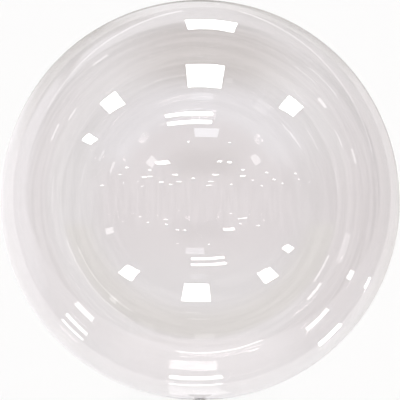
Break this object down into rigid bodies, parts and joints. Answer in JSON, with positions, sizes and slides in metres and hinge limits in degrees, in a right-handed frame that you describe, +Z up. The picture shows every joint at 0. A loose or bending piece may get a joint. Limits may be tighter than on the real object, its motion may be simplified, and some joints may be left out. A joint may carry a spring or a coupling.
{
  "type": "clear bubble balloon",
  "caption": "Round clear film balloon, blown tight, gathered and knotted at its neck, lying on a small flat spot.",
  "frame": {"origin": "middle of the rest spot, the small flat that the balloon lies on", "axes": "+Z up out of the floor through the bubble's middle, -Y along the neck towards the tail, +X to the right with the neck pointing at the viewer"},
  "size_m": [0.61, 0.6873, 0.6081],
  "materials": {
    "clear_film": "clear glossy film"
  },
  "bodies": {
    "root": {"bubble_balloon": "clear_film"}
  },
  "joints": []
}
